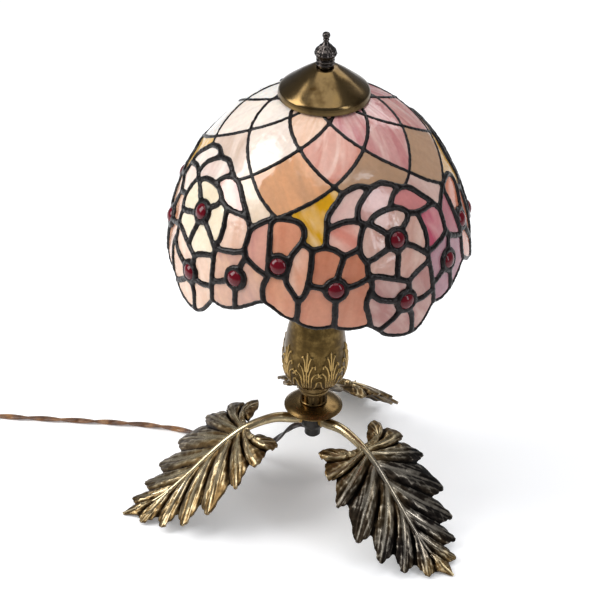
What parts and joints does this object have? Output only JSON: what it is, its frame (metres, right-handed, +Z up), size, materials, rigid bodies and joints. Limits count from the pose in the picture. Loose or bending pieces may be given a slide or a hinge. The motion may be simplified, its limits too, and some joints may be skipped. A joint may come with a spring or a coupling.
{
  "type": "stained glass table lamp",
  "caption": "Small table lamp with a domed leaded-glass flower shade held on a harp, over a brass vase body on a tripod of cast leaves, with mains flex and plug.",
  "frame": {"origin": "at table level, midway between the rear leaf's tip and the front of the shade; the lamp's own axis stands at Y = -22.5 mm", "axes": "+Z up along the lamp's axis, +Y towards the rear leaf, +X to the right seen from the front"},
  "size_m": [0.5634, 0.2947, 0.4496],
  "materials": {
    "cast_bronze": "cast brass with a dark antique patina rubbed back on the ridges",
    "antique_brass": "antique brass, lacquered satin",
    "satin_brass": "spun brass, satin",
    "dark_steel": "blackened steel",
    "nickel": "black nickel plate, polished",
    "aluminium": "drawn aluminium",
    "cream_glass": "opalescent art glass, cream to peach",
    "rose_glass": "opalescent art glass, rose to mauve",
    "ruby_glass": "pressed ruby glass cabochon",
    "solder": "solder seam with black patina",
    "opal_glass": "opal white glass",
    "cardboard": "fibre insulating liner",
    "phenolic": "moulded phenolic",
    "brown_flex": "brown translucent PVC"
  },
  "bodies": {
    "root": {"leaf_rear": "cast_bronze", "leaf_left": "cast_bronze", "leaf_right": "cast_bronze", "arm_rear": "antique_brass", "arm_left": "antique_brass", "arm_right": "antique_brass", "arm_collar_rear": "satin_brass", "arm_collar_left": "satin_brass", "arm_collar_right": "satin_brass", "hub": "dark_steel", "cord_outlet_nut": "dark_steel", "base_disc": "antique_brass", "fluted_ring": "antique_brass", "vase_neck": "antique_brass", "vase_body": "antique_brass", "vase_cup": "antique_brass", "pipe_nut": "satin_brass", "threaded_pipe": "dark_steel", "harp_saddle": "satin_brass", "harp": "satin_brass", "socket_cap": "satin_brass", "socket_shell": "satin_brass", "socket_liner": "cardboard", "socket_core": "phenolic", "socket_screw_shell": "aluminium", "socket_contact": "satin_brass", "cord_lead": "brown_flex", "cord_coil": "brown_flex", "cord_tail": "brown_flex", "cord_tie": "phenolic", "plug_strain_relief": "brown_flex", "plug_body": "brown_flex", "plug_pin_left": "nickel", "plug_pin_right": "nickel"},
    "switch_key": {"switch_key": "phenolic"},
    "bulb": {"bulb_cap": "aluminium", "bulb_globe": "opal_glass"},
    "sleeve_left": {"harp_sleeve_left": "satin_brass"},
    "sleeve_right": {"harp_sleeve_right": "satin_brass"},
    "shade_carrier": {"finial_washer": "nickel"},
    "shade": {"lattice_panel_1": "cream_glass", "lattice_panel_2": "cream_glass", "lattice_panel_3": "cream_glass", "lattice_panel_4": "cream_glass", "flower_panel_1": "rose_glass", "flower_panel_2": "rose_glass", "flower_panel_3": "rose_glass", "flower_panel_4": "rose_glass", "ruby_cabochon_1": "ruby_glass", "ruby_cabochon_2": "ruby_glass", "ruby_cabochon_3": "ruby_glass", "ruby_cabochon_4": "ruby_glass", "shade_top_ring": "solder", "vase_cap": "satin_brass"},
    "finial": {"finial": "nickel"}
  },
  "joints": [
    {"name": "shade_lift", "type": "slide", "parent": "root", "child": "shade_carrier", "axis": [0, 0, 1], "range_m": [0, 0.2]},
    {"name": "shade_turn", "type": "hinge", "parent": "shade_carrier", "child": "shade", "pos_m": [0, -0.0225, 0.41], "axis": [0, 0, 1], "continuous": true},
    {"name": "finial_turn", "type": "hinge", "parent": "shade_carrier", "child": "finial", "pos_m": [0, -0.0225, 0.42], "axis": [0, 0, 1], "continuous": true},
    {"name": "bulb_turn", "type": "hinge", "parent": "root", "child": "bulb", "pos_m": [0, -0.0225, 0.27], "axis": [0, 0, 1], "continuous": true},
    {"name": "switch_turn", "type": "hinge", "parent": "root", "child": "switch_key", "pos_m": [0, -0.0225, 0.2405], "axis": [0, -1, 0], "continuous": true},
    {"name": "sleeve_left_lift", "type": "slide", "parent": "root", "child": "sleeve_left", "axis": [0, 0, 1], "range_m": [0, 0.018]},
    {"name": "sleeve_right_lift", "type": "slide", "parent": "root", "child": "sleeve_right", "axis": [0, 0, 1], "range_m": [0, 0.018]}
  ]
}
